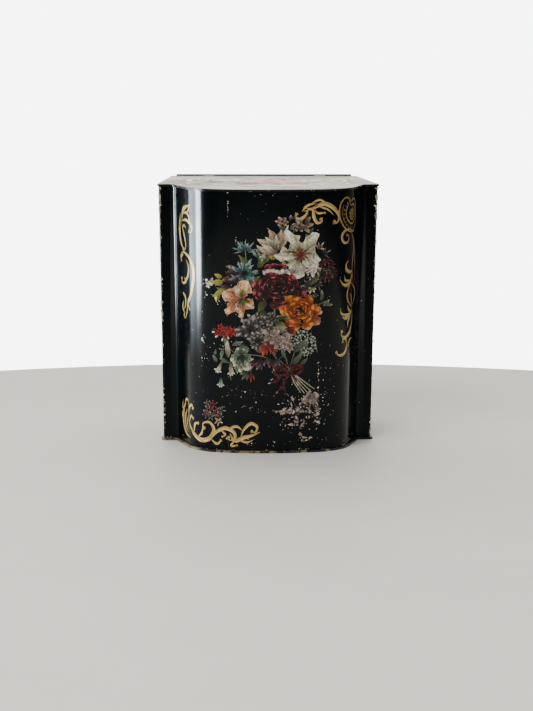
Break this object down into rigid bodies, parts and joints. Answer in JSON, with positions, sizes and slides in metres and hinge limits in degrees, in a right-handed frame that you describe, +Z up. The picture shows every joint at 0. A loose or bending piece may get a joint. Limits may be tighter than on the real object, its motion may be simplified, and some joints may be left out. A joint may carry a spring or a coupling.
{
  "type": "lithographed tin",
  "caption": "Tall tinplate canister with a bowed front between flat corner ears, a body that narrows to its back and base, and a flat lid hinged on a wire along the back edge.",
  "frame": {"origin": "centre of the bounding box's underside, on the surface that the tin stands on", "axes": "+X to the right as seen from the front, +Y from the bowed front to the flat back, +Z up"},
  "size_m": [0.1396, 0.1203, 0.165],
  "materials": {
    "printed_tinplate": "gloss",
    "black_tinplate": "gloss",
    "gold_lacquered_tinplate": "satin",
    "bare_tinplate": "satin",
    "steel_wire": "satin"
  },
  "bodies": {
    "can": {"front_panel": "printed_tinplate", "side_and_back_shell": "printed_tinplate", "base_plate": "gold_lacquered_tinplate", "hinge_strip": "black_tinplate", "hinge_wire": "steel_wire"},
    "lid": {"lid_panel": "printed_tinplate", "lid_skirt": "bare_tinplate", "hinge_strap_left": "bare_tinplate", "hinge_strap_right": "bare_tinplate"}
  },
  "joints": [
    {"name": "lid_hinge", "type": "hinge", "parent": "can", "child": "lid", "pos_m": [0, 0.0566, 0.16355], "axis": [-1, 0, 0], "range_deg": [0, 120]}
  ]
}
